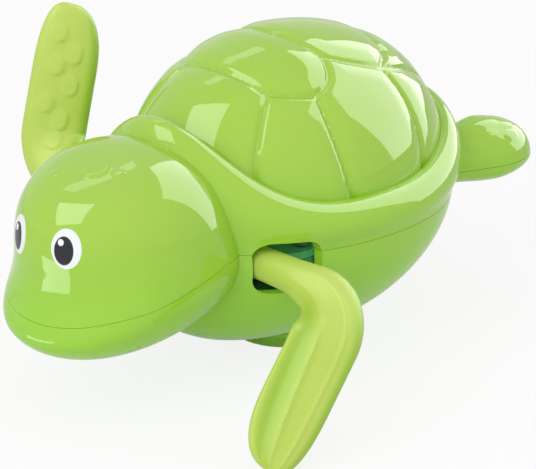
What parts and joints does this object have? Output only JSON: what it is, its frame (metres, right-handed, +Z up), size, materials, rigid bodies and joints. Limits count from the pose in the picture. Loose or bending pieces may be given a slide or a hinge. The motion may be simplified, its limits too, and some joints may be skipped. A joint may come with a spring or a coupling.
{
  "type": "wind-up turtle bath toy",
  "caption": "Wind-up swimming turtle with a domed scute back, rowing front flippers on a cross shaft, fixed hind flippers and a winding knob under the belly.",
  "frame": {"origin": "centre of the winding knob's flat face, on which the toy stands", "axes": "+Z up, the head looks along -Y, +X is the turtle's left"},
  "size_m": [0.0966, 0.1146, 0.0611],
  "materials": {
    "lime_gloss": "glossy moulded",
    "yellow_green_satin": "satin moulded",
    "gear_plastic": "natural moulded",
    "gearbox_plastic": "matt moulded",
    "steel": "plain drawn"
  },
  "bodies": {
    "housing": {"upper_shell": "lime_gloss", "lower_shell": "lime_gloss", "gearbox_base": "gearbox_plastic", "gearbox_cover": "gearbox_plastic", "floating_pin": "steel", "contrate_pin": "steel", "mainspring": "steel", "gearbox_screw_1": "steel", "gearbox_screw_2": "steel", "gearbox_screw_3": "steel", "gearbox_screw_4": "steel", "motor_screw_1": "steel", "motor_screw_2": "steel", "shell_screw_1": "steel", "shell_screw_2": "steel", "shell_screw_3": "steel"},
    "output": {"left_flipper": "yellow_green_satin", "right_flipper": "yellow_green_satin", "output_shaft": "steel", "output_pinion": "gear_plastic"},
    "contrate": {"contrate_wheel": "gear_plastic"},
    "floating": {"floating_wheel": "gear_plastic"},
    "winding": {"winding_knob": "lime_gloss", "winding_arbor": "steel", "main_wheel": "gear_plastic"}
  },
  "joints": [
    {"name": "output_spin", "type": "hinge", "parent": "housing", "child": "output", "pos_m": [0, -0.02481, 0.0264], "axis": [1, 0, 0], "continuous": true},
    {"name": "contrate_spin", "type": "hinge", "parent": "housing", "child": "contrate", "pos_m": [0, -0.02481, 0.02], "axis": [0, 0, 1], "continuous": true},
    {"name": "floating_spin", "type": "hinge", "parent": "housing", "child": "floating", "pos_m": [0.0022, -0.01362, 0.019], "axis": [0, 0, 1], "continuous": true},
    {"name": "main_spin", "type": "hinge", "parent": "housing", "child": "winding", "pos_m": [0, 0, 0.01], "axis": [0, 0, 1], "continuous": true}
  ],
  "couplings": [
    {"joint": "contrate_spin", "follows": "output_spin", "ratio": 0.5},
    {"joint": "floating_spin", "follows": "output_spin", "ratio": -0.17857},
    {"joint": "main_spin", "follows": "output_spin", "ratio": 0.049603}
  ]
}
